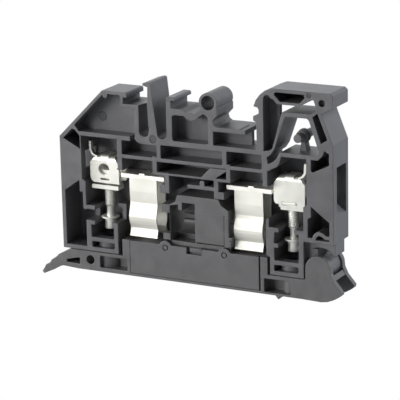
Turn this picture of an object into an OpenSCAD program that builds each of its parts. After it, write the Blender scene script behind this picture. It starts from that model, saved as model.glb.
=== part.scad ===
// Disconnect terminal block with a hinged fuse lever, for a 35 mm rail.
// Foot up, lever down, open face toward -Y, wires enter along X.
// Origin: middle of the rail seat, rail centre, mid thickness. Lengths in mm.

/* [Housing] */
// Rail centre to the left outer wall
left_l = 35.2; // [34.8:0.1:37]
// Rail centre to the right outer wall
right_l = 36.0; // [35.8:0.1:38]
// Thickness across the rail
body_t = 8.2; // [8.0:0.1:9.4]
// Depth of the housing below the rail
body_h = 38.0; // [37.8:0.1:39.5]
// Thickness of the outer side walls
outer_wall = 1.0; // [0.8:0.05:1.2]
// Thickness of the inner ribs
rib_t = 1.0; // [0.8:0.05:1.1]
// Thickness of the closed rear wall
back_wall = 0.9; // [0.8:0.05:1.0]
// Thickness of the rear wall behind the fuse
bay_wall = 0.6; // [0.5:0.05:0.7]
// Thickness of the web inside the foot
web_t = 1.0; // [0.8:0.1:1.6]
// Thickness of the front skin over the wire funnels
front_skin = 1.9; // [1.5:0.1:2.2]
// Radius of the moulded pocket corners
corner_r = 0.35; // [0.2:0.05:0.45]

/* [Rail foot] */
// Width of the rail
rail_w = 35.0; // [34.8:0.1:35.2]
// Play of the rail between the hooks
rail_play = 0.2; // [0.1:0.05:0.4]
// Thickness of the rail lip
rail_lip = 1.0; // [0.9:0.05:1.2]
// Height of the fixed foot over the rail lip
foot_h = 5.8; // [5.4:0.1:6.6]
// Height of the left shoulder over the rail lip
roof_h = 1.6; // [1.4:0.1:2.0]
// Size of the slope on the left shoulder
slope = 12.0; // [11:0.5:12]
// Height of the release finger
finger_h = 4.6; // [4.0:0.1:6.0]
// Depth of the foot zone below the rail
foot_zone = 8.8; // [8.6:0.1:9.0]
// Outer radius of the round boss
boss_r = 2.35; // [2.2:0.05:2.5]
// Bore radius of the round boss
boss_bore = 1.7; // [1.3:0.05:1.8]
// Radius of the catch spindle in the right foot
spindle_r = 1.35; // [1.1:0.05:1.5]

/* [Clamps] */
// Rail centre to the clamp axis
clamp_x = 24.2; // [24.0:0.1:24.4]
// Length of a clamp along the wire
clamp_w = 7.8; // [7.0:0.1:7.9]
// Depth of a clamp across the wire
clamp_d = 4.7; // [4.4:0.1:5.2]
// Sheet thickness of a clamp
sheet_t = 0.8; // [0.6:0.05:0.9]
// Free height for the wire in an open clamp
wire_h = 2.8; // [2.6:0.1:3.2]
// Height of the stop flag on a clamp
flag_h = 3.3; // [2.5:0.1:4.0]
// Thread diameter of a clamp screw
screw_d = 2.5; // [2.3:0.1:3.0]
// Radius of the collar on a clamp screw
collar_r = 2.2; // [1.9:0.05:2.4]
// Radius of the screw head
head_r = 1.4; // [1.2:0.05:1.6]
// Radius of the driver holes
driver_r = 2.0; // [1.8:0.05:2.1]

/* [Contacts] */
// Depth of the contact bars below the rail
bar_z = 18.4; // [18.2:0.05:18.6]
// Thickness of a contact bar
bar_t = 1.0; // [0.9:0.05:1.2]
// Width of a contact bar at its clip
bar_w = 4.6; // [4.4:0.1:5.0]
// Rail centre to the middle of a clip
clip_x = 13.85; // [13.6:0.05:14.0]
// Length of a clip along the fuse
clip_w = 7.3; // [6.6:0.1:7.4]
// Thickness of the clip sheet
leaf_t = 0.35; // [0.3:0.05:0.4]
// Depth of the fuse axis below the rail
fuse_z = 28.7; // [28.5:0.05:28.9]
// Diameter of the fuse that fits
fuse_d = 6.3; // [6.0:0.05:6.35]

/* [Lever] */
// Rail centre to the lever hinge
pivot_x = 32.0; // [31.9:0.05:32.1]
// Depth of the lever hinge below the rail
pivot_z = 35.4; // [35.3:0.05:35.5]
// Radius of the hinge lobes
lobe_r = 3.1; // [2.9:0.05:3.2]
// Radius of the hinge pins on the lever
pin_r = 1.25; // [1.0:0.05:1.4]
// Thickness of the lever cheeks
cheek_t = 1.4; // [1.2:0.05:1.5]
// Height of the lever strip
lever_h = 4.7; // [4.5:0.1:5.5]
// Height of the lever block over the strip
block_h = 4.1; // [3.9:0.05:4.3]
// Width of the lever block
block_w = 38.2; // [37.6:0.1:38.6]
// Length of the pull tab past the strip
tab_l = 8.2; // [6:0.1:10]
// Radius of the hole in the lever
link_r = 1.1; // [0.9:0.05:1.3]
// Thickness of the cover panel
cover_t = 1.0; // [0.8:0.05:1.2]

/* [Clearances] */
// Radial play of the hinge pins and the screw threads
run_fit = 0.05; // [0.03:0.01:0.08]
// Gap between pieces that move past each other
move_gap = 0.2; // [0.15:0.05:0.3]
// Gap round pieces set into a pocket
set_gap = 0.1; // [0.05:0.05:0.15]

/* [Hidden] */
fn = 64;
plastic = [0.43, 0.42, 0.44];
plastic_dark = [0.40, 0.40, 0.41];
nickel = [0.93, 0.92, 0.88];
steel = [0.80, 0.80, 0.79];

// Thickness planes
yf = -body_t / 2;
yb = body_t / 2;
yw = yb - back_wall;
ybay = yb - bay_wall;
cheek_y = yb - cheek_t;
tongue_y = cheek_y - move_gap;
cut = 1;

// Rail notches
nx = (rail_w + rail_play) / 2;
notch_top = 0.4 * rail_lip;
notch_bot = notch_top - rail_lip - 0.5;
finger_x = -11.0;
slot_x = -8.75;
post_x = -6.2;
flex_x = 14.2;

// Clamp cavities and screw boxes
cav_in = clamp_x - clamp_w / 2 - 0.75;
cav_out = clamp_x + clamp_w / 2 + 0.95;
col_in = cav_in - rib_t - 0.15;
row1_z = -foot_zone - rib_t;
row2_z = row1_z - 3.5;
cav_z = -bar_z - bar_t - 7.3;
box_z = cav_z - rib_t;
box_half = collar_r + 0.9;
box_end = -body_h + rib_t + 1.5 + rib_t;
box_wall = clamp_x + box_half + 1.2;
bay_x = clamp_x - box_half - 1.1;
lip_z = -30.4;
mouth_hi = -11.5;
mouth_lo = -23.0;
throat_hi = -13.9;
throat_lo = -bar_z;

// Clamp heights
clamp_top = -bar_z + wire_h + sheet_t;
plate_t = 1.0;
plate_top = -bar_z - bar_t - 2.4;
screw_r = screw_d / 2;
screw_tip = -bar_z - bar_t - 0.1;

// Lever heights
strip_top = -body_h - move_gap;
strip_bot = strip_top - lever_h;
block_top = strip_top + block_h;
block_l = -18.9;
block_r = block_l + block_w;
well_l = block_l + 2.0;
well_r = block_r - 1.8;
well_z = strip_bot + 0.6;
block_y = ybay - 0.3;
well_y = block_y - 0.8;
carrier_y = yf + cover_t;
tower_top = -21.65;

// Outline in the X-Z plane drawn from y0 to y1
module slab(y0, y1) {
  translate([0, y1, 0]) rotate([90, 0, 0]) linear_extrude(y1 - y0) children();
}

// Section in the Y-Z plane drawn from x0 to x1
module run(x0, x1) {
  translate([x0, 0, 0]) rotate([90, 0, 90]) linear_extrude(x1 - x0) children();
}

// Rectangle with rounded corners
module pocket(x0, z0, x1, z1, r = corner_r) {
  translate([x0 + r, z0]) square([x1 - x0 - 2 * r, z1 - z0]);
  translate([x0, z0 + r]) square([x1 - x0, z1 - z0 - 2 * r]);
  for (x = [x0 + r, x1 - r]) {
    for (z = [z0 + r, z1 - r]) {
      translate([x, z]) circle(r = r, $fn = fn);
    }
  }
}

// Plain rectangle by its corners
module rect(x0, z0, x1, z1) {
  translate([x0, z0]) square([x1 - x0, z1 - z0]);
}

// Round pin along Y
module peg(x, z, r, y0, y1) {
  translate([x, y1, z]) rotate([90, 0, 0]) cylinder(r = r, h = y1 - y0, $fn = fn);
}

// Left shoulder, fixed hook, second hook and the body below
module body_outline() {
  polygon([
    [-left_l, -body_h], [-left_l, roof_h - slope], [-left_l + slope, roof_h],
    [-nx + 0.7, roof_h], [-nx + 1, roof_h - 0.3], [-nx + 1, notch_top], [-nx, notch_top],
    [-nx, notch_bot], [-nx + 3.6, notch_bot], [finger_x, notch_bot + 0.9],
    [post_x, notch_bot + 0.9], [post_x, roof_h - 0.3], [post_x + 0.4, roof_h],
    [-4.2, roof_h], [-3.9, roof_h - 0.3], [-3.9, notch_top + 0.3], [-4.95, notch_top + 0.3],
    [-4.95, notch_bot], [-2.2, notch_bot], [-1.0, notch_bot - 0.6], [1.2, notch_bot - 0.7],
    [3.4, 0], [7.05, 0], [7.05, -1.7], [5.85, -3.0], [6.1, -4.0], [6.9, -4.5],
    [flex_x, -4.5], [flex_x, -foot_zone], [right_l, -foot_zone], [right_l, -29.2],
    [box_wall, -29.2], [box_wall, -body_h]
  ]);
}

// Release finger with its barb
module finger_outline() {
  polygon([
    [finger_x + 0.2, -foot_zone], [finger_x - 0.1, 0], [finger_x, finger_h - 1.2],
    [finger_x - 1.2, finger_h - 0.9], [finger_x - 1.3, finger_h - 0.4],
    [finger_x + 0.3, finger_h], [finger_x + 0.8, finger_h - 0.2],
    [finger_x + 1.3, 0], [slot_x, -foot_zone + 1]
  ]);
}

// Fixed foot with the right hook
module foot_outline() {
  polygon([
    [nx - 0.6, -foot_zone - 1], [nx - 0.6, -2.4], [nx - 1.4, -2.0], [nx - 1.4, -1.0],
    [nx, -0.4], [nx, 0.6], [nx - 0.3, 1.1], [nx - 1.3, 1.3], [nx - 0.7, 2.8],
    [nx + 0.4, foot_h - 1.6], [nx + 1.6, foot_h - 0.65], [nx + 3.3, foot_h],
    [right_l - 0.7, foot_h], [right_l, foot_h - 0.6], [right_l, 2.4], [right_l - 2.8, 0.9],
    [right_l, -6], [right_l, -foot_zone - 1]
  ]);
}

// Whole front outline
module outline() {
  difference() {
    union() {
      body_outline();
      finger_outline();
      foot_outline();
      translate([4.7, 1.0]) circle(r = boss_r, $fn = fn);
    }
    polygon([
      [finger_x + 0.9, finger_h + 1], [finger_x + 0.9, finger_h - 0.5], [finger_x + 1.3, 0],
      [slot_x + 0.03, -7.3], [post_x, -7.3], [post_x, finger_h + 1]
    ]);
    translate([(slot_x + post_x) / 2, -7.4]) circle(r = (post_x - slot_x) / 2, $fn = fn);
  }
}

// Gaps that pass right through the foot
module foot_gaps() {
  polygon([
    [21.3, 2.3], [27.9, 2.3], [30.8, 4.0], [31.3, 3.9], [32.1, 1.5], [30.6, 0.7],
    [23.6, 0.6], [23.1, -0.5], [21.3, -7.0]
  ]);
  polygon([
    [24.3, -0.4], [29.6, -0.4], [30.1, -0.9], [32.4, 1.2 - foot_zone], [32.0, -foot_zone],
    [22.9, -foot_zone], [22.0, -10.3], [21.2, -11.2], [19.75, -11.85], [19.5, -10.3],
    [20.5, -9.6], [21.4, -8.3], [24.0, -1.0]
  ]);
  translate([4.7, 1.0]) circle(r = boss_bore, $fn = fn);
  polygon([
    [-13.5, -7.6], [-13.5, -1.2], [-13.3, -1.0], [-11.4, -0.4], [-11.2, -0.6], [-10.85, -7.3],
    [-11.1, -8.0], [-11.8, -8.5], [-12.6, -8.5], [-13.2, -8.2]
  ]);
}

// Pockets on both sides of the foot web
module foot_pockets() {
  difference() {
    polygon([
      [-left_l + slope + 0.35, roof_h - 0.75], [-nx - 1.1, roof_h - 0.75],
      [-nx - 0.6, roof_h - 1.25], [-nx - 0.6, notch_bot - 0.9], [-14.7, notch_bot - 0.9],
      [-14.7, -foot_zone], [-left_l + 5.3, -foot_zone], [-left_l + 4.2, roof_h - slope + 3.1]
    ]);
    translate([-left_l + slope + 0.8, roof_h - 1.1]) circle(r = 0.65, $fn = fn);
  }
  polygon([
    [-4.75, -foot_zone + 0.3], [-4.75, -3.0], [-4.2, -2.6], [-1.6, -2.6], [-0.9, -3.3],
    [0.2, -3.6], [1.5, -3.2], [2.4, -2.4], [3.2, -1.8], [4.0, -1.9], [4.65, -2.6],
    [4.65, -foot_zone + 0.3], [4.1, -foot_zone], [-4.2, -foot_zone]
  ]);
  rect(5.9, -foot_zone, flex_x + 1, -5.55);
  polygon([
    [nx + 1.15, -8.9], [nx + 1.15, 2.8], [nx + 1.7, 3.4], [21.2, 3.4], [22.2, 2.3],
    [23.1, -0.5], [20.9, -8.2], [20.1, -8.7]
  ]);
  polygon([[31.0, 0.0], [32.2, 1.0], [34.6, -4.9], [33.0, -5.9]]);
}

// Wall that runs up to the lever hinge on the right of the right box
module right_pockets() {
  polygon([
    [33.8, -7.4], [right_l - outer_wall, -8.1], [right_l - outer_wall, -10.8],
    [31.0, -12.7], [30.5, -12.4], [30.5, row1_z], [32.2, row1_z], [33.4, -8.6]
  ]);
  difference() {
    polygon([
      [30.4, -20.7], [right_l - outer_wall, -24.1], [right_l - outer_wall, -28.1],
      [29.6, -28.1], [29.6, -23.6], [30.4, -23.3]
    ]);
    polygon([
      [30.7, -28.2], [31.0, -27.3], [31.6, -26.7], [32.5, -26.4], [33.4, -26.7],
      [34.2, -27.3], [36, -27.3], [36, -28.2]
    ]);
  }
  polygon([
    [31.6, -28.3], [31.8, -27.7], [32.4, -27.3], [33.2, -27.6], [34.0, -28.1],
    [right_l - outer_wall, -28.1], [right_l - outer_wall, -28.5], [31.6, -28.5]
  ]);
}

// Pockets between the left wall and the left box
module left_pockets() {
  polygon([
    [-left_l + outer_wall, -10.8], [-31.8, -8.4], [-31.0, -8.5], [-29.7, -9.9],
    [-29.65, -13.1]
  ]);
  polygon([
    [-left_l + outer_wall, -body_h + rib_t], [-left_l + outer_wall, -23.6],
    [-30.15, -20.75], [-30.15, -23.6], [-29.3, -23.6], [-29.3, -27.6],
    [-box_wall - 0.1, -28.1], [-box_wall - 0.1, -body_h + rib_t]
  ]);
}

// Clamp cavity, screw box and driver window, with the lip gaps on both sides of the screw
module wing_pockets(inner_gap, outer_gap) {
  polygon([
    [cav_in, -13.5], [cav_out + 0.35, -13.5], [cav_out + 0.35, -20.4], [28.5, -21.0],
    [28.5, cav_z], [bay_x - 0.2, cav_z], [bay_x - 0.2, -16.9], [cav_in, -16.9]
  ]);
  rect(clamp_x - 1.95, box_z - cut, clamp_x + 1.95, cav_z + cut);
  difference() {
    pocket(clamp_x - box_half, box_end, clamp_x + box_half, box_z);
    rect(clamp_x - box_half - cut, lip_z - 1, clamp_x - inner_gap, lip_z);
    rect(clamp_x + outer_gap, lip_z - 1, clamp_x + box_half + cut, lip_z);
  }
  pocket(clamp_x - box_half - 0.1, -body_h + rib_t, clamp_x + box_half - 0.1, box_end - rib_t);
}

// Room for the stop flag over each clamp
module flag_rooms() {
  rect(-cav_out - 0.35, -13.6, -cav_in, row1_z);
  polygon([
    [23.1, row1_z], [cav_out + 0.35, row1_z], [cav_out + 0.35, -14], [cav_in, -14],
    [cav_in, -13.9], [20.4, -13.1], [21.9, -12.4], [22.6, -11.5]
  ]);
}

// Front of the left box, open beside the collar of the screw
module left_box_front() {
  rect(-box_wall - 0.3, lip_z, -clamp_x - box_half + 0.3, box_z);
  rect(-clamp_x + 1.9, lip_z, -bay_x + 0.2, cav_z + 0.1);
}

// Rows of pockets between the foot and the fuse bay
module row_pockets() {
  pocket(-col_in + 0.1, row2_z, -8.95, row1_z - 0.5);
  polygon([
    [-col_in + 0.1, row1_z - 1.1], [-col_in + 0.1, row1_z - 0.1], [-16.0, row1_z - 0.1],
    [-16.0, row1_z + 0.5], [-14.7, row1_z + 0.5], [-14.5, row1_z + 0.2],
    [-14.0, row1_z - 0.2], [-13.2, row1_z - 0.5], [-13.0, row1_z - 1.1]
  ]);
  pocket(-7.95, row2_z, 8.15, row1_z - 0.3);
  pocket(9.25, row2_z, col_in - 0.2, row1_z - 0.1);
  rect(-col_in + 0.1, -17.4, -9.95, row2_z - 0.85);
  rect(10.15, -17.4, col_in, row2_z - 0.85);
  rect(-9.0, -16.7, 9.1, row2_z - 0.85);
}

// Posts that hold the inner end of a contact bar, drawn for the right side
module bar_posts() {
  rect(9.1, -17.35, 10.15, -13);
  rect(5.85, -17.35, 10.15, -16.65);
  rect(5.85, -21.5, 7.0, -16.65);
  rect(5.85, -21.5, 8.4, -bar_z - bar_t - 0.4);
}

// Bay for the fuse and its carrier
module bay_pockets() {
  difference() {
    union() {
      rect(-bay_x, -body_h - cut, bay_x, -17.2);
      row_pockets();
    }
    bar_posts();
    mirror([1, 0]) bar_posts();
    rect(-col_in - rib_t - 0.05, -17, -col_in, -9);
    rect(col_in, -16.9, cav_in, -9);
    rect(-1.0, -19.7, 6, -18.8);
    pocket(2.2, -19.2, 3.4, -17.6);
    polygon([[6.2, -16.7], [9.1, -14.7], [9.1, -14.3], [5, -14.3], [2.6, -16.7]]);
    polygon([
      [bay_x - 0.9, -33.4], [bay_x - 0.9, -25.2], [bay_x - 0.4, -24.6], [bay_x + 0.4, -24.6],
      [bay_x + 0.9, -25.2], [bay_x + 0.9, -33.8], [bay_x, -33.8]
    ]);
  }
}

// Funnel for one wire, drawn for the right side with its outer wall at w
module funnel(w) {
  slab(yf + front_skin, yw - 0.3) polygon([
    [w + cut, mouth_hi + 0.43 * cut], [w, mouth_hi], [cav_out + 1.4, throat_hi],
    [cav_out - cut, throat_hi], [cav_out - cut, throat_lo], [cav_out + 1.4, throat_lo],
    [w, mouth_lo], [w + cut, mouth_lo - 0.65 * cut]
  ]);
}

// Driver hole into one screw box
module driver_hole(x) {
  translate([x, 0, -body_h - cut]) cylinder(r = driver_r, h = 6, $fn = fn);
}

// Neck and eye that carry the lever between its cheeks
module hinge_tongue() {
  difference() {
    union() {
      slab(-tongue_y, tongue_y) difference() {
        rect(box_wall - 0.5, -33.0, right_l - 0.3, -28.8);
        translate([pivot_x, -pivot_z]) circle(r = lobe_r + 1.7, $fn = fn);
      }
      slab(-tongue_y, tongue_y) polygon([
        [box_wall - 0.5, -31], [pivot_x - 0.6, -31], [pivot_x - 0.6, -33.4],
        [pivot_x, -pivot_z], [pivot_x - lobe_r + 0.5, -pivot_z], [box_wall + 0.4, -33.4],
        [box_wall - 0.5, -33.0]
      ]);
      peg(pivot_x, -pivot_z, lobe_r - 0.4, -tongue_y, tongue_y);
    }
    peg(pivot_x, -pivot_z, pin_r + run_fit, yf, yb);
  }
}

// Catch spindle on its rib inside the right foot
module spindle() {
  peg(27.1, -5.3, spindle_r - 0.35, -3.8, 3.4);
  peg(27.1, -5.3, spindle_r, -1.9, 0.9);
  slab(-web_t, web_t) polygon([
    [26.2, -foot_zone - 0.4], [28.2, -foot_zone - 0.4], [27.5, -6.0], [26.9, -6.0]
  ]);
}

// Round pads that the ejector pins leave where ribs meet
module ejector_pads() {
  for (p = [[-14.6, -2.0], [-19.0, -9.6], [4.9, -9.5], [12.6, -4.9]]) {
    difference() {
      peg(p[0], p[1], 0.62, yf, web_t / 2);
      peg(p[0], p[1], 0.42, yf - cut, yf + 0.12);
    }
  }
}

module housing() {
  color(plastic) {
    difference() {
      slab(yf, yb) outline();
      slab(yf - cut, yw) {
        bay_pockets();
        right_pockets();
        left_pockets();
        wing_pockets(collar_r - 0.1, collar_r + 0.4);
        mirror([1, 0]) wing_pockets(collar_r + 0.4, collar_r - 0.1);
        flag_rooms();
        polygon([[21.4, 4.5], [21.9, 5.0], [29.0, 5.0], [29.1, 4.2], [27.8, 2.9], [23.0, 2.9]]);
      }
      slab(yf - cut, ybay) rect(-cav_in + 1, -34.6, cav_in - 1, -24.4);
      slab(yf - cut, 0.3) left_box_front();
      slab(yf - cut, -web_t / 2) {
        foot_pockets();
        rect(-16.0, row1_z + 0.3, -14.7, 0.3 - foot_zone);
      }
      slab(web_t / 2, yb + cut) foot_pockets();
      slab(yf - cut, yb + cut) foot_gaps();
      funnel(right_l);
      mirror([1, 0, 0]) funnel(left_l);
      driver_hole(clamp_x);
      driver_hole(-clamp_x);
      peg(19.75, 3.2, 0.95, yf - cut, yf + 1.2);
      peg(33.3, 3.4, 0.8, yf - cut, yf + 1.2);
      peg(-9.8, -8.9, 0.95, yf - cut, yf + 0.12);
      peg(30.2, 4.9, 0.6, yf - cut, yf + 0.12);
    }
    ejector_pads();
    hinge_tongue();
    spindle();
    for (s = [-1, 1]) {
      slab(bar_w / 2, yw + 0.2) rect(
        s * clip_x - 2.5, -bar_z - bar_t + 0.1, s * clip_x + 2.5, -bar_z - 0.1);
    }
  }
}

// Side view of the lever strip with its stepped tab
module strip_outline() {
  tx = -33.3;
  polygon([
    [box_wall, strip_bot], [box_wall, strip_top], [tx, strip_top], [tx - 3.5, strip_top - 1.8],
    [tx - 3.9, strip_top - 2.3], [tx - 5.5, strip_top - 3.4], [tx - 5.9, strip_top - 4.1],
    [tx - 7.1, strip_top - 4.8], [tx - 7.5, strip_top - 5.5], [tx - tab_l, strip_top - 6.6],
    [tx - tab_l + 0.5, strip_top - 7.1], [tx - 4.7, strip_bot - 1.0],
    [tx - 3.0, strip_bot], [tx - 2.2, strip_bot + 0.25], [tx + 2, strip_bot]
  ]);
}

// Side view of one cheek with its lobe and heel
module cheek_outline() {
  translate([pivot_x, -pivot_z]) circle(r = lobe_r, $fn = fn);
  polygon([
    [box_wall - 0.5, strip_bot], [box_wall - 0.5, strip_top],
    [pivot_x - lobe_r, strip_top + 0.1], [pivot_x - lobe_r, -pivot_z],
    [pivot_x + lobe_r, -pivot_z], [pivot_x + lobe_r + 0.1, -pivot_z - 0.9],
    [pivot_x + 4.0, -pivot_z - 2.6], [pivot_x + 6.0, strip_bot + 2.6],
    [pivot_x + 5.9, strip_bot + 2.0], [pivot_x + 5.1, strip_bot + 1.4],
    [pivot_x + 3.9, strip_bot + 0.7], [pivot_x + 2.4, strip_bot + 0.1],
    [pivot_x + 0.8, strip_bot - 0.15]
  ]);
}

module lever() {
  color(plastic_dark) difference() {
    union() {
      slab(yf, yb) strip_outline();
      slab(yf, block_y) rect(block_l, strip_top - 1, block_r, block_top);
      slab(yf, -cheek_y) cheek_outline();
      slab(cheek_y, yb) cheek_outline();
      peg(pivot_x, -pivot_z, pin_r, -cheek_y - 0.3, -1.2);
      peg(pivot_x, -pivot_z, pin_r, 1.2, cheek_y + 0.3);
      slab(-cheek_y - 0.2, cheek_y + 0.2) polygon([
        [pivot_x + 2.8, -pivot_z - 1.9], [pivot_x + 3.2, -pivot_z - 1.4],
        [pivot_x + 3.9, -pivot_z - 2.5], [pivot_x + 3.3, -pivot_z - 2.9]
      ]);
      slab(yf, yb) polygon([[21.0, strip_bot + 0.3], [22.7, strip_bot + 0.3], [22.0, strip_bot - 0.9]]);
    }
    slab(yf - cut, well_y) rect(well_l, well_z, well_r, block_top + cut);
    slab(yf - cut, -1.2) {
      pocket(-25.2, strip_bot + 1.0, block_l + 1.2, strip_top - 0.8);
      pocket(block_r - 0.9, strip_bot + 0.5, 25.2, strip_top - 0.9);
    }
    slab(yf - cut, yb + cut) polygon([
      [-34.5, -40.9], [-31.0, -40.1], [-30.8, -40.2], [-30.8, -41.6], [-31.0, -41.7],
      [-34.5, -41.6]
    ]);
    peg(-27.85, strip_top - 2.1, link_r, yf - cut, yb + cut);
    for (s = [-1, 1]) {
      translate([s * clamp_x, 0, strip_bot + 1.0]) cylinder(r = driver_r, h = lever_h, $fn = fn);
    }
  }
}

module fuse_carrier() {
  color(plastic) {
    slab(carrier_y, well_y) rect(
      well_l + set_gap, well_z + set_gap, well_r - set_gap, block_top - set_gap);
    difference() {
      union() {
        slab(yf + 0.1, block_y) polygon([
          [-4.4, -23.4], [-3.9, tower_top], [6.9, tower_top], [7.5, -23.0], [9.4, -24.2],
          [9.4, -31.3], [9.4, block_top], [-6.0, block_top], [-6.0, -31.3], [-6.0, -24.2]
        ]);
        slab(yf + 0.1, 0) {
          rect(-8.1, -26.2, -5.9, -24.2);
          rect(-7.8, -32.8, -5.9, -31.2);
          rect(9.3, -31.3, 10.2, -30.5);
          rect(9.3, -32.8, 10.0, -31.4);
        }
      }
      run(-12, 12) translate([0, -fuse_z]) circle(r = fuse_d / 2 + set_gap, $fn = fn);
      run(1.0, 8.3) polygon([
        [yf - cut, -fuse_z + fuse_d / 2], [0, -fuse_z + fuse_d / 2 + set_gap],
        [0, -fuse_z - fuse_d / 2 - set_gap], [yf - cut, block_top + 0.1]
      ]);
      slab(yf - cut, carrier_y) rect(-12, well_z, 12, -33.0);
      slab(yf - cut, 0) polygon([
        [-5.9, -24.4], [-3.7, -24.0], [-3.7, -25.3], [-2.7, -25.3], [-2.7, -23.4],
        [0.7, -23.4], [0.7, -33.2], [-5.9, -33.0]
      ]);
    }
    slab(yf, carrier_y + 0.1) rect(-0.8, block_top - 0.9, 2.2, block_top);
  }
}

module carrier_cover() {
  color(plastic) difference() {
    slab(yf, carrier_y) {
      difference() {
        rect(well_l + set_gap, well_z + set_gap, well_r - 0.4, block_top - set_gap);
        rect(-1.7, block_top - 1.6, 2.3, block_top + cut);
      }
      for (x = [-7.3, 8.2]) {
        translate([x, block_top - 0.8]) circle(r = 1.7, $fn = fn);
      }
    }
    for (x = [-7.3, 8.2]) {
      difference() {
        peg(x, block_top - 0.8, 0.75, yf - cut, yf + 0.3);
        peg(x, block_top - 0.8, 0.5, yf - 2 * cut, yf + 1);
      }
    }
  }
}

// Contact bar with a narrow end for the clamp, drawn for the left side
module busbar() {
  color(nickel) {
    translate([-cav_in - 0.2, -bar_w / 2, -bar_z - bar_t]) cube([cav_in - 8.0, bar_w, bar_t]);
    translate([-clamp_x - 4.4, -clamp_d / 2 + sheet_t + 0.2, -bar_z - bar_t])
      cube([clamp_x + 4.4 - cav_in, clamp_d - 2 * sheet_t - 0.4, bar_t]);
    translate([-15.0, -bar_w / 2 + 0.3, -bar_z - 0.1]) cube([1.4, bar_w - 0.6, 0.35]);
  }
}

// Spring clip: a plate under the bar and two bulged leaves
module fuse_clip() {
  b = fuse_d / 2;
  top = -bar_z - bar_t;
  leaf = [
    [bar_w / 2, top], [bar_w / 2, -22.5], [bar_w / 2 - 0.1, -24.0], [bar_w / 2 - 0.2, -25.2],
    [bar_w / 2 - 0.1, -26.0], [b - 0.65, -26.9], [b - 0.4, -fuse_z + 1.0],
    [b - 0.25, -fuse_z + 0.1], [b - 0.3, -fuse_z - 0.7], [b - 0.5, -30.2],
    [bar_w / 2 + 0.05, -30.9], [bar_w / 2 - 0.15, -31.4], [bar_w / 2 - 0.1, -31.7],
    [bar_w / 2 + 0.15, -32.6], [bar_w / 2 + 0.4, -33.4]
  ];
  inner = [for (i = [len(leaf) - 1:-1:1]) [leaf[i][0] - leaf_t, leaf[i][1]]];
  half = concat(leaf, inner, [[bar_w / 2 - leaf_t, top - leaf_t]]);
  other = [for (i = [len(half) - 1:-1:0]) [-half[i][0], half[i][1]]];
  color(nickel) run(-clip_x - clip_w / 2, -clip_x + clip_w / 2) polygon(concat(half, other));
}

// Folded clamp with its threaded plate, drawn for the left side with the flag at y = flag_y
module clamp(flag_y) {
  x0 = -clamp_x - clamp_w / 2;
  x1 = -clamp_x + clamp_w / 2;
  h = clamp_d / 2;
  r = sheet_t + 0.3;
  wall_bot = plate_top + 0.45;
  color(steel) {
    difference() {
      intersection() {
        run(x0, x1) difference() {
          union() {
            pocket(-h, wall_bot - 2 * r, h, clamp_top, r);
            rect(0, plate_top - 0.4, h, wall_bot);
          }
          rect(-h - cut, wall_bot - 4, 0, wall_bot);
          rect(-cut, plate_top - 9.4, h + cut, plate_top - 0.4);
          pocket(-h + sheet_t, plate_top - 2, h - sheet_t, clamp_top - sheet_t, r - sheet_t);
        }
        slab(-h - cut, h + cut) polygon([
          [x0, plate_top - 1], [x0, clamp_top - 1.7], [x0 + 1.1, clamp_top - 0.4],
          [x0 + 1.4, clamp_top + cut], [x1 - 1.4, clamp_top + cut], [x1 - 1.1, clamp_top - 0.4],
          [x1, clamp_top - 1.7], [x1, plate_top - 1]
        ]);
      }
      slab(-h - cut, -h + sheet_t + 0.2) {
        polygon([[x0 - cut, wall_bot - cut], [x0 - cut, wall_bot + 2], [x0, wall_bot + 1.2],
          [x0 + 0.3, wall_bot + 0.4], [x0 + 0.9, wall_bot], [x0 + 0.9, wall_bot - cut]]);
        translate([-clamp_x - 0.15, -bar_z + 0.4]) circle(r = 1.45, $fn = fn);
        pocket(-clamp_x - 1.2, wall_bot + 0.7, -clamp_x + 1.2, wall_bot + 1.2, 0.2);
      }
      slab(0.2, h + cut) polygon([
        [x1 + cut, plate_top + 1.3], [x1, plate_top + 1.3], [x1 - 0.1, plate_top + 0.8],
        [x1 - 0.5, plate_top + 0.4], [x1 - 1.6, plate_top + 0.3], [x1 - 1.6, plate_top - 1],
        [x1 + cut, plate_top - 1]
      ]);
      slab(h - 0.25, h + cut) difference() {
        pocket(-clamp_x - 1.9, plate_top + 0.1, -clamp_x + 1.9, plate_top + 1.1, 0.45);
        pocket(-clamp_x - 1.7, plate_top + 0.3, -clamp_x + 1.7, plate_top + 0.9, 0.25);
      }
    }
    difference() {
      translate([x0 + 0.45, -h - 0.2, plate_top - plate_t])
        cube([clamp_w - 0.6, 2 * h, plate_t]);
      translate([x1 - 1.6, 0.1, plate_top - plate_t - cut]) cube([2, h, plate_t + 2 * cut]);
      translate([-clamp_x, 0, plate_top - plate_t - cut])
        cylinder(r = screw_r + run_fit, h = plate_t + 2 * cut, $fn = fn);
    }
    run(-clamp_x - 1.1, -clamp_x + 1.1) intersection() {
      pocket(-h, wall_bot, h, clamp_top + 0.3, r);
      rect(-h - cut, clamp_top - sheet_t + 0.1, h + cut, clamp_top + 1);
    }
    slab(flag_y - 0.5, flag_y + 0.5) polygon([
      [x0 + 1.5, clamp_top], [x0 + 0.8, clamp_top + 0.4], [x0 + 0.3, clamp_top + 1.1],
      [x0 + 0.2, clamp_top + flag_h], [x0 - 0.3, clamp_top + flag_h],
      [x0 - 0.25, clamp_top + 1.0], [x0 + 0.4, clamp_top + 0.1], [x0 + 1.3, clamp_top - 0.4],
      [x0 + 1.8, clamp_top - 0.4], [x0 + 1.8, clamp_top]
    ]);
  }
}

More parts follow.
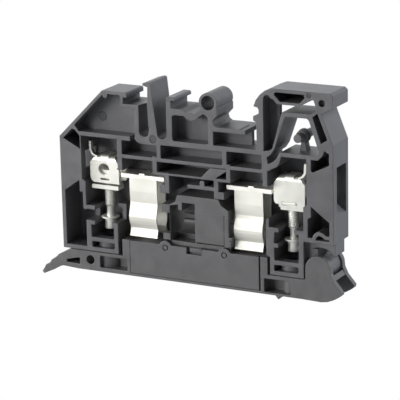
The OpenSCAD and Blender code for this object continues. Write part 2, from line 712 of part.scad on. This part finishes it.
// Clamp screw with thread, neck, collar and slotted head, drawn at the left
module screw() {
  color(steel) translate([-clamp_x, 0, 0]) difference() {
    union() {
      translate([0, 0, box_z]) cylinder(r = screw_r, h = screw_tip - box_z, $fn = fn);
      translate([0, 0, lip_z + 0.2]) cylinder(r = screw_r - 0.35, h = 3, $fn = fn);
      translate([0, 0, lip_z + 0.1]) cylinder(r = collar_r, h = 0.45, $fn = fn);
      translate([0, 0, lip_z - 2.5]) cylinder(r = head_r, h = 2.7, $fn = fn);
    }
    translate([-head_r - cut, -0.3, lip_z - 2.5 - cut]) cube([2 * head_r + 2 * cut, 0.6, cut + 0.8]);
  }
}

housing();
lever();
fuse_carrier();
carrier_cover();
busbar();  // busbar_left
mirror([1, 0, 0]) busbar();  // busbar_right
fuse_clip();  // fuse_clip_left
mirror([1, 0, 0]) fuse_clip();  // fuse_clip_right
clamp(-1.6);  // clamp_left
rotate([0, 0, 180]) clamp(1.6);  // clamp_right
screw();  // screw_left
rotate([0, 0, 180]) screw();  // screw_right
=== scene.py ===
import math

import bmesh
import bpy
from mathutils import Matrix, Vector


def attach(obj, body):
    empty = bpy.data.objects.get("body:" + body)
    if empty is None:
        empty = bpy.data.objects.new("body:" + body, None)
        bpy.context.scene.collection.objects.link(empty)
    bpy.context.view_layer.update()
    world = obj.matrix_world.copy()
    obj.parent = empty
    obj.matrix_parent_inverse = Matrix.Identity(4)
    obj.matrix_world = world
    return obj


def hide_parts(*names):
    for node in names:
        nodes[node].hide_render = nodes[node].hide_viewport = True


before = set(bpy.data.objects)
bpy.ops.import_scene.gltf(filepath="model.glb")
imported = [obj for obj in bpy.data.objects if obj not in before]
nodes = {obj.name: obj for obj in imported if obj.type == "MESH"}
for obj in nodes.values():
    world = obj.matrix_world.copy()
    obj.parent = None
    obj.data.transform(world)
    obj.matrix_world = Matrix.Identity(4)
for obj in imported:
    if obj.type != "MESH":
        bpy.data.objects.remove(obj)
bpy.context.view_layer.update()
mm = 0.001
print("frame loaded")


# camera, at the photograph's angle
view = {
    "azimuth": 27.9,
    "elevation": 15.4,
    "roll": -1.25,
    "distance": 520.764 * mm,
    "target": Vector((2.166, -4.1, -22.2)) * mm,
    "lens": 202.5,
    "sensor": 36.0,
    "clip": (0.01, 20),
}


def makeCamera(v):
    az, el = math.radians(v["azimuth"]), math.radians(v["elevation"])
    back = Vector((math.sin(az) * math.cos(el), -math.cos(az) * math.cos(el), math.sin(el)))
    right = Vector((math.cos(az), math.sin(az), 0))
    turn = Matrix((right, back.cross(right), back)).transposed().to_4x4()
    roll = Matrix.Rotation(math.radians(v["roll"]), 4, "Z")
    data = bpy.data.cameras.new("camera")
    data.lens = v["lens"]
    data.sensor_width = v["sensor"]
    data.clip_start, data.clip_end = v["clip"]
    camera = bpy.data.objects.new("camera", data)
    camera.matrix_world = Matrix.Translation(v["target"] + back * v["distance"]) @ turn @ roll
    bpy.context.scene.collection.objects.link(camera)
    bpy.context.scene.camera = camera


makeCamera(view)
print("camera placed")


# studio: pale floor, soft boxes, white surround
studio = {
    "floorZ": -120 * mm,
    "floorSize": 6.0,
    "floorColour": (0.66, 0.66, 0.66, 1),
    "floorRough": 0.9,
    "seen": 1.0,
    "fill": 0.0,
    "aim": Vector((0, 0, -0.02)),
    "lampSize": 0.6,
    "lamps": [
        # name, watts, colour, place
        ("keyBox", 8.0, (1, 0.985, 0.97), (-0.73, -1.04, 0.25)),
        ("leftBox", 13.5, (1, 0.985, 0.97), (-1.17, -0.55, 0.09)),
        ("rightBox", 6.0, (0.88, 0.94, 1), (1.2, 0.21, 0.42)),
        ("rightTopBox", 7.0, (0.88, 0.94, 1), (0.96, 0.26, 0.82)),
        ("backBox", 3.5, (0.88, 0.94, 1), (-0.59, 0.7, 0.9)),
    ],
}


def larger(tree, first, second):
    node = tree.nodes.new("ShaderNodeMath")
    node.operation = "MAXIMUM"
    tree.links.new(first, node.inputs[0])
    tree.links.new(second, node.inputs[1])
    return node.outputs[0]


def makeSurround(s):
    # white where the camera or a reflection looks, the fill level where it lights
    world = bpy.data.worlds.new("studio")
    bpy.context.scene.world = world
    world.use_nodes = True
    tree = world.node_tree
    background = tree.nodes["Background"]
    background.inputs["Color"].default_value = (1, 1, 1, 1)
    rays = tree.nodes.new("ShaderNodeLightPath").outputs
    looked = larger(tree, rays["Is Camera Ray"], rays["Is Glossy Ray"])
    looked = larger(tree, looked, rays["Is Transmission Ray"])
    level = tree.nodes.new("ShaderNodeMapRange")
    level.inputs["To Min"].default_value = s["fill"]
    level.inputs["To Max"].default_value = s["seen"]
    tree.links.new(looked, level.inputs["Value"])
    tree.links.new(level.outputs["Result"], background.inputs["Strength"])


def makeLamps(s):
    for name, watts, colour, place in s["lamps"]:
        data = bpy.data.lights.new(name, "AREA")
        data.shape = "DISK"
        data.size = s["lampSize"]
        data.energy = watts
        data.color = colour
        lamp = bpy.data.objects.new(name, data)
        lamp.location = place
        lamp.rotation_euler = (s["aim"] - Vector(place)).to_track_quat("-Z", "Y").to_euler()
        bpy.context.scene.collection.objects.link(lamp)


def makeFloor(s):
    # the camera sees it pure white, and the part still gets its bounce light
    bm = bmesh.new()
    bmesh.ops.create_grid(bm, x_segments=1, y_segments=1, size=s["floorSize"] / 2)
    bmesh.ops.translate(bm, verts=bm.verts, vec=(0, 0, s["floorZ"]))
    mesh = bpy.data.meshes.new("floor")
    bm.to_mesh(mesh)
    bm.free()
    floor = bpy.data.objects.new("floor", mesh)
    bpy.context.scene.collection.objects.link(floor)
    paint = bpy.data.materials.new("floorPaint")
    paint.use_nodes = True
    tree = paint.node_tree
    shader = tree.nodes["Principled BSDF"]
    shader.inputs["Base Color"].default_value = s["floorColour"]
    shader.inputs["Roughness"].default_value = s["floorRough"]
    glow = tree.nodes.new("ShaderNodeEmission")
    path = tree.nodes.new("ShaderNodeLightPath")
    mix = tree.nodes.new("ShaderNodeMixShader")
    tree.links.new(path.outputs["Is Camera Ray"], mix.inputs["Fac"])
    tree.links.new(shader.outputs["BSDF"], mix.inputs[1])
    tree.links.new(glow.outputs["Emission"], mix.inputs[2])
    tree.links.new(mix.outputs["Shader"], tree.nodes["Material Output"].inputs["Surface"])
    mesh.materials.append(paint)


makeSurround(studio)
makeLamps(studio)
makeFloor(studio)
bpy.context.scene.view_settings.view_transform = "Standard"
print("studio made")


# shader helpers
def newMaterial(name):
    material = bpy.data.materials.new(name)
    material.use_nodes = True
    tree = material.node_tree
    place = tree.nodes.new("ShaderNodeTexCoord")
    return material, tree, tree.nodes["Principled BSDF"], place.outputs["Object"]


def noise(tree, where, grain, stretch=None):
    node = tree.nodes.new("ShaderNodeTexNoise")
    node.inputs["Scale"].default_value = grain["scale"]
    node.inputs["Detail"].default_value = grain["detail"]
    node.inputs["Roughness"].default_value = grain["rough"]
    if stretch:
        mapping = tree.nodes.new("ShaderNodeMapping")
        mapping.inputs["Scale"].default_value = stretch
        tree.links.new(where, mapping.inputs["Vector"])
        where = mapping.outputs["Vector"]
    tree.links.new(where, node.inputs["Vector"])
    return node.outputs["Fac"]


def ramp(tree, value, band, dark, light):
    node = tree.nodes.new("ShaderNodeValToRGB")
    for element, position, colour in zip(node.color_ramp.elements, band, (dark, light)):
        element.position = position
        element.color = colour
    tree.links.new(value, node.inputs["Fac"])
    return node.outputs["Color"]


def spread(tree, value, band, low, high):
    node = tree.nodes.new("ShaderNodeMapRange")
    node.inputs["From Min"].default_value, node.inputs["From Max"].default_value = band
    node.inputs["To Min"].default_value = low
    node.inputs["To Max"].default_value = high
    tree.links.new(value, node.inputs["Value"])
    return node.outputs["Result"]


def softEdges(tree, shader, height, relief):
    # fine relief over edges that look slightly rounded
    bump = tree.nodes.new("ShaderNodeBump")
    bump.inputs["Strength"].default_value = relief["strength"]
    bump.inputs["Distance"].default_value = relief["depth"]
    tree.links.new(height, bump.inputs["Height"])
    bevel = tree.nodes.new("ShaderNodeBevel")
    bevel.samples = 4
    bevel.inputs["Radius"].default_value = relief["edge"]
    tree.links.new(bevel.outputs["Normal"], bump.inputs["Normal"])
    tree.links.new(bump.outputs["Normal"], shader.inputs["Normal"])


# fibre-filled plastic: slow flow clouds and a fine moulded grain
plastic = {
    "clouds": {"scale": 240, "detail": 5.0, "rough": 0.62},
    "grain": {"scale": 5200, "detail": 2.0, "rough": 0.6},
    "colourBand": (0.3, 0.75),
    "roughBand": (0.3, 0.7),
    "smoother": 0.06,
    "rougher": 0.08,
    "specular": 0.5,
    # bluish tint painted into the plastic's reflections, a painted cool sheen on top faces
    # and edges
    "paintedCoolSheen": (0.86, 0.92, 1, 1),
    "relief": {"strength": 0.3, "depth": 0.04 * mm, "edge": 0.26 * mm},
}

# bright plating with drawn lines along one direction
plating = {
    "lines": {"scale": 900, "detail": 3.0, "rough": 0.6},
    "blotches": {"scale": 160, "detail": 2.0, "rough": 0.5},
    "band": (0.3, 0.7),
    "smoother": 0.05,
    "rougher": 0.08,
    "relief": {"strength": 0.12, "depth": 0.02 * mm, "edge": 0.08 * mm},
}


def mouldedPlastic(name, dark, light, rough):
    p = plastic
    material, tree, shader, where = newMaterial(name)
    clouds = noise(tree, where, p["clouds"])
    colour = ramp(tree, clouds, p["colourBand"], dark, light)
    tree.links.new(colour, shader.inputs["Base Color"])
    grain = noise(tree, where, p["grain"])
    gloss = spread(tree, clouds, p["roughBand"], rough - p["smoother"], rough + p["rougher"])
    tree.links.new(gloss, shader.inputs["Roughness"])
    softEdges(tree, shader, grain, p["relief"])
    shader.inputs["Specular IOR Level"].default_value = p["specular"]
    # reflections tinted bluish: painted cool sheen
    shader.inputs["Specular Tint"].default_value = p["paintedCoolSheen"]
    return material


def platedSheet(name, dark, light, rough, brush, metallic):
    p = plating
    material, tree, shader, where = newMaterial(name)
    lines = noise(tree, where, p["lines"], brush)
    blotches = noise(tree, where, p["blotches"])
    colour = ramp(tree, blotches, p["band"], dark, light)
    tree.links.new(colour, shader.inputs["Base Color"])
    shader.inputs["Metallic"].default_value = metallic
    gloss = spread(tree, lines, p["band"], rough - p["smoother"], rough + p["rougher"])
    tree.links.new(gloss, shader.inputs["Roughness"])
    softEdges(tree, shader, lines, p["relief"])
    return material


housingPlastic = mouldedPlastic("housingPlastic", (0.103, 0.100, 0.104, 1),
                                (0.139, 0.136, 0.141, 1), 0.4)
leverPlastic = mouldedPlastic("leverPlastic", (0.100, 0.097, 0.098, 1),
                              (0.133, 0.130, 0.131, 1), 0.38)
contactMetal = platedSheet("contactMetal", (0.70, 0.695, 0.64, 1), (0.80, 0.795, 0.74, 1),
                           0.5, (0.15, 1, 1), 0.45)
barMetal = platedSheet("barMetal", (0.84, 0.83, 0.77, 1), (0.95, 0.94, 0.89, 1),
                       0.36, (1, 1, 0.15), 0.75)
clampSteel = platedSheet("clampSteel", (0.66, 0.665, 0.615, 1), (0.74, 0.745, 0.695, 1),
                         0.38, (1, 1, 0.2), 0.7)
screwSteel = platedSheet("screwSteel", (0.80, 0.81, 0.76, 1), (0.90, 0.91, 0.86, 1),
                         0.36, (1, 1, 1), 0.5)
# plastic painted darker than the housing, as painted shade in the ejector marks
shadePaintedPlastic = mouldedPlastic("shadePaintedPlastic", (0.050, 0.048, 0.051, 1),
                             (0.070, 0.068, 0.071, 1), 0.46)

finishes = {
    "housing": housingPlastic,
    "lever": leverPlastic,
    "fuse_carrier": leverPlastic,
    "carrier_cover": leverPlastic,
    "busbar_left": barMetal,
    "busbar_right": barMetal,
    "fuse_clip_left": contactMetal,
    "fuse_clip_right": contactMetal,
    "clamp_left": clampSteel,
    "clamp_right": clampSteel,
    "screw_left": screwSteel,
    "screw_right": screwSteel,
}

for node, material in finishes.items():
    for slot in nodes[node].material_slots:
        slot.material = material
print("finishes set")


# mesh helpers
def grow(bm, faces, shift):
    # pushes the faces out and gives back their moved corners
    grown = bmesh.ops.extrude_face_region(bm, geom=faces)
    moved = [g for g in grown["geom"] if isinstance(g, bmesh.types.BMVert)]
    bmesh.ops.translate(bm, verts=moved, vec=shift)
    return moved


def between(bm, verts):
    return [e for e in bm.edges if all(v in verts for v in e.verts)]


def roundEdges(bm, edges, offset, segments=2):
    bmesh.ops.bevel(bm, geom=edges, offset=offset, offset_type="OFFSET", segments=segments,
                    profile=0.5, affect="EDGES", material=-1)


def addPrism(bm, profile, span, edge):
    # a profile of depth and height, drawn along x over the span, in millimetres
    start, end = span
    near = [bm.verts.new((start * mm, y * mm, z * mm)) for y, z in profile]
    far = grow(bm, [bm.faces.new(near)], ((end - start) * mm, 0, 0))
    roundEdges(bm, list({e for v in near + far for e in v.link_edges}), edge)


def makePiece(bm, name, material, sharpAngle=None):
    # closes the build of a piece; with an angle given, its gentler bends shade smooth
    bmesh.ops.recalc_face_normals(bm, faces=bm.faces)
    mesh = bpy.data.meshes.new(name)
    bm.to_mesh(mesh)
    bm.free()
    if sharpAngle:
        for polygon in mesh.polygons:
            polygon.use_smooth = True
        mesh.set_sharp_from_angle(angle=math.radians(sharpAngle))
    mesh.materials.append(material)
    piece = bpy.data.objects.new(name, mesh)
    bpy.context.scene.collection.objects.link(piece)
    return piece


# clamp screws: rolled thread, neck, collar and slotted head
screw = {
    "axisX": 24.2 * mm,
    "threadRadius": 1.25 * mm,
    "rootRadius": 0.98 * mm,
    "coreRadius": 0.96 * mm,
    "pitch": 0.5 * mm,
    # where the crest starts and ends and the root comes back, as shares of the pitch
    "crestStart": 0.38,
    "crestEnd": 0.52,
    "rootStart": 0.9,
    "threadTop": -19.6 * mm,
    "threadEnd": -27.6 * mm,
    "coreTop": -27.3 * mm,
    "coreEdge": 0.05 * mm,
    "coreBase": -27.7 * mm,
    "neckTop": -27.9 * mm,
    "neckRadius": 0.88 * mm,
    "collarRadius": 2.2 * mm,
    "collarTop": -29.85 * mm,
    "collarBase": -30.3 * mm,
    "headRadius": 1.4 * mm,
    "slotRoof": -32.1 * mm,
    "headEnd": -32.9 * mm,
    "headLap": 0.02 * mm,
    "slotHalf": 0.3 * mm,
    "edge": 0.12 * mm,
    "weld": 0.0004 * mm,
    "cutReach": 0.0001 * mm,
    "stepsPerTurn": 24,
    "segments": 48,
    "sharpAngle": 35,
}


def chain(bm, points):
    # joined edges through points given as radius and height
    verts = [bm.verts.new((r, 0, z)) for r, z in points]
    edges = [bm.edges.new(pair) for pair in zip(verts, verts[1:])]
    return verts + edges


def addThread(bm, s):
    turns = round((s["threadTop"] - s["threadEnd"]) / s["pitch"]) - 1
    p, low = s["pitch"], s["threadEnd"]
    crest, root = s["threadRadius"], s["rootRadius"]
    ridge = chain(bm, [
        (root, low), (crest, low + s["crestStart"] * p), (crest, low + s["crestEnd"] * p),
        (root, low + s["rootStart"] * p), (root, low + p)])
    bmesh.ops.spin(bm, geom=ridge, cent=(0, 0, 0), axis=(0, 0, 1),
                   dvec=(0, 0, p / s["stepsPerTurn"]), angle=2 * math.pi * turns,
                   steps=s["stepsPerTurn"] * turns, use_merge=False)
    bmesh.ops.remove_doubles(bm, verts=bm.verts, dist=s["weld"])
    bmesh.ops.holes_fill(bm, edges=[e for e in bm.edges if e.is_boundary], sides=0)


def addTurnedEnds(bm, s):
    # neck, collar and head in one turned profile, and the pointed tip over the thread
    e, core = s["edge"], s["coreRadius"]
    neck, head, collar = s["neckRadius"], s["headRadius"], s["collarRadius"]
    body = chain(bm, [
        (0, s["coreTop"]), (core, s["coreTop"] - s["coreEdge"]), (core, s["coreBase"]),
        (neck, s["neckTop"]), (neck, s["collarTop"]), (collar - e, s["collarTop"]),
        (collar, s["collarTop"] - e), (collar, s["collarBase"] + e),
        (collar - e, s["collarBase"]), (head, s["collarBase"]), (head, s["slotRoof"]),
        (0, s["slotRoof"])])
    tipBase = s["threadTop"] - s["pitch"]
    tip = chain(bm, [
        (0, s["threadTop"]), (core - e, s["threadTop"]), (core, s["threadTop"] - 2 * e),
        (core, tipBase), (0, tipBase)])
    bmesh.ops.spin(bm, geom=body + tip, cent=(0, 0, 0), axis=(0, 0, 1), dvec=(0, 0, 0),
                   angle=2 * math.pi, steps=s["segments"], use_merge=True)
    bmesh.ops.remove_doubles(bm, verts=bm.verts, dist=s["weld"])


def addSlottedHalf(bm, s, side):
    # half of the head beside the driver slot, its top face at the origin
    disc = bmesh.ops.create_circle(bm, cap_ends=True, radius=s["headRadius"],
                                   segments=s["segments"])
    verts = disc["verts"]
    faces = {f for v in verts for f in v.link_faces}
    edges = {e for v in verts for e in v.link_edges}
    cut = bmesh.ops.bisect_plane(bm, geom=list(verts) + list(edges) + list(faces),
                                 dist=s["cutReach"], plane_co=(0, side * s["slotHalf"], 0),
                                 plane_no=(0, side, 0), clear_inner=True)
    flat = [g for g in cut["geom"] if isinstance(g, bmesh.types.BMFace)]
    low = grow(bm, flat, (0, 0, s["headEnd"] - s["slotRoof"]))
    roundEdges(bm, between(bm, low), s["edge"])


def makeScrew(name, body, node, x):
    s = screw
    bm = bmesh.new()
    addThread(bm, s)
    addTurnedEnds(bm, s)
    for side in (-1, 1):
        half = bmesh.new()
        addSlottedHalf(half, s, side)
        bmesh.ops.translate(half, verts=half.verts, vec=(0, 0, s["slotRoof"] + s["headLap"]))
        extra = bpy.data.meshes.new("half")
        half.to_mesh(extra)
        half.free()
        bm.from_mesh(extra)
        bpy.data.meshes.remove(extra)
    bmesh.ops.translate(bm, verts=bm.verts, vec=(x, 0, 0))
    piece = makePiece(bm, name, screwSteel, s["sharpAngle"])
    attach(piece, body)
    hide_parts(node)


makeScrew("threadedScrewLeft", "screw_left_body", "screw_left", -screw["axisX"])
makeScrew("threadedScrewRight", "screw_right_body", "screw_right", screw["axisX"])
print("screws made")


# driver guides: the front half of a tube in each pocket that the driver passes
guides = {
    "tubes": [
        # name, body, slot, material, then axis x, outer radius, low and high end in mm
        ("leverGuideLeft", "lever_body", "lever_plastic", leverPlastic,
         -24.2, 3.2, -42.0, -38.9),
        ("leverGuideRight", "lever_body", "lever_plastic", leverPlastic,
         24.2, 2.65, -42.5, -39.0),
        ("boxGuideLeft", "housing_body", "housing_plastic", housingPlastic,
         -24.2, 3.1, -37.1, -35.4),
        ("boxGuideRight", "housing_body", "housing_plastic", housingPlastic,
         24.2, 3.1, -37.1, -35.4),
    ],
    "bore": 2.05,
    "segments": 32,
    "sharpAngle": 35,
}


def makeGuide(g, name, body, slot, material, x, outer, low, high):
    bm = bmesh.new()
    corners = [bm.verts.new((-r * mm, 0, z * mm)) for r, z in
               ((g["bore"], low), (outer, low), (outer, high), (g["bore"], high))]
    section = bm.faces.new(corners)
    bmesh.ops.spin(bm, geom=[section], cent=(0, 0, 0), axis=(0, 0, 1), dvec=(0, 0, 0),
                   angle=math.pi, steps=g["segments"], use_merge=False)
    bmesh.ops.translate(bm, verts=bm.verts, vec=(x * mm, 0, 0))
    piece = makePiece(bm, name, material, g["sharpAngle"])
    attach(piece, body)


for tube in guides["tubes"]:
    makeGuide(guides, *tube)
print("driver guides made")


# front wall of the fuse sleeve, over the rib beside it
panel = {
    # profile as depth and height, in millimetres
    "wall": [(-3.3, -25.3), (-4.05, -25.3), (-4.02, -32.6), (-3.3, -32.6)],
    "span": (0.66, 8.25),
    "edge": 0.06 * mm,
}


def makePanel(p):
    bm = bmesh.new()
    addPrism(bm, p["wall"], p["span"], p["edge"])
    piece = makePiece(bm, "sleeveFront", leverPlastic)
    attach(piece, "lever_body")


makePanel(panel)
print("sleeve front made")


# round marks of the ejector pins: flush discs, a little rougher than the wall round them and
# painted darker, the darker colour being painted shade that stands for a recess
pinMarks = {
    # places as x, front and z, with the radius, in millimetres
    "spots": [
        (-25.3, -0.56, -5.5, 1.15),
        (-14.6, -4.02, -2.0, 0.4),
        (-19.0, -4.02, -9.6, 0.4),
        (4.9, -4.02, -9.5, 0.4),
        (12.6, -4.02, -4.9, 0.4),
        (-9.8, -4.02, -8.9, 0.92),
        (30.2, -4.02, 4.9, 0.57),
    ],
    "depth": 0.08 * mm,
    "edge": 0.02 * mm,
    "segments": 40,
}


def addMark(bm, m, x, front, z, radius):
    disc = bmesh.ops.create_circle(bm, cap_ends=True, radius=radius * mm,
                                   segments=m["segments"])
    faces = list({f for v in disc["verts"] for f in v.link_faces})
    top = grow(bm, faces, (0, 0, m["depth"]))
    verts = disc["verts"] + top
    bmesh.ops.rotate(bm, verts=verts, cent=(0, 0, 0),
                     matrix=Matrix.Rotation(math.pi / 2, 3, "X"))
    bmesh.ops.translate(bm, verts=verts, vec=(x * mm, front * mm + m["depth"], z * mm))
    roundEdges(bm, between(bm, top), m["edge"])


def makePinMarks(m):
    bm = bmesh.new()
    for spot in m["spots"]:
        addMark(bm, m, *spot)
    piece = makePiece(bm, "ejectorMarksPaintedShade", shadePaintedPlastic)
    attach(piece, "housing_body")


makePinMarks(pinMarks)
print("ejector marks made")


# collar on the small spindle in the opening of the right foot
spindleCollar = {
    "place": (27.1 * mm, 0.25 * mm, -5.3 * mm),
    "radius": 1.62 * mm,
    "width": 0.7 * mm,
    "edge": 0.15 * mm,
    "edgeSegments": 3,
    "segments": 40,
    "sharpAngle": 50,
}


def makeSpindleCollar(c):
    bm = bmesh.new()
    disc = bmesh.ops.create_circle(bm, cap_ends=True, radius=c["radius"],
                                   segments=c["segments"])
    top = grow(bm, bm.faces[:], (0, 0, c["width"]))
    rims = between(bm, top) + between(bm, disc["verts"])
    roundEdges(bm, rims, c["edge"], c["edgeSegments"])
    bmesh.ops.rotate(bm, verts=bm.verts, cent=(0, 0, 0),
                     matrix=Matrix.Rotation(math.pi / 2, 3, "X"))
    bmesh.ops.translate(bm, verts=bm.verts, vec=c["place"])
    piece = makePiece(bm, "spindleCollar", housingPlastic, c["sharpAngle"])
    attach(piece, "housing_body")


makeSpindleCollar(spindleCollar)
print("spindle collar made")


# punched tab in the closed face of the right clamp
clampTab = {
    # profile as depth and height, in millimetres
    "face": [(-2.25, -21.50), (-2.53, -21.50), (-2.53, -20.90), (-2.25, -20.90)],
    "span": (22.5, 25.9),
    "edge": 0.09 * mm,
}


def makeClampTab(c):
    bm = bmesh.new()
    addPrism(bm, c["face"], c["span"], c["edge"])
    piece = makePiece(bm, "clampTab", clampSteel)
    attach(piece, "clamp_right_body")


makeClampTab(clampTab)
print("clamp tab made")


# raised backs of the three pockets in the upper row
rowBacks = {
    # each back as low x, high x and top, in millimetres, like the other heights and depths
    "backs": [(-18.4, -8.85, -10.2), (-8.05, 8.25, -10.0), (9.15, 18.3, -9.8)],
    "low": -13.4,
    "front": 0.8,
    "rear": 3.3,
    "edge": 0.08 * mm,
}


def makeRowBacks(b):
    bm = bmesh.new()
    front, rear, low = b["front"], b["rear"], b["low"]
    for left, right, top in b["backs"]:
        profile = [(front, low), (front, top), (rear, top), (rear, low)]
        addPrism(bm, profile, (left, right), b["edge"])
    piece = makePiece(bm, "rowBacks", housingPlastic)
    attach(piece, "housing_body")


makeRowBacks(rowBacks)
print("row backs made")
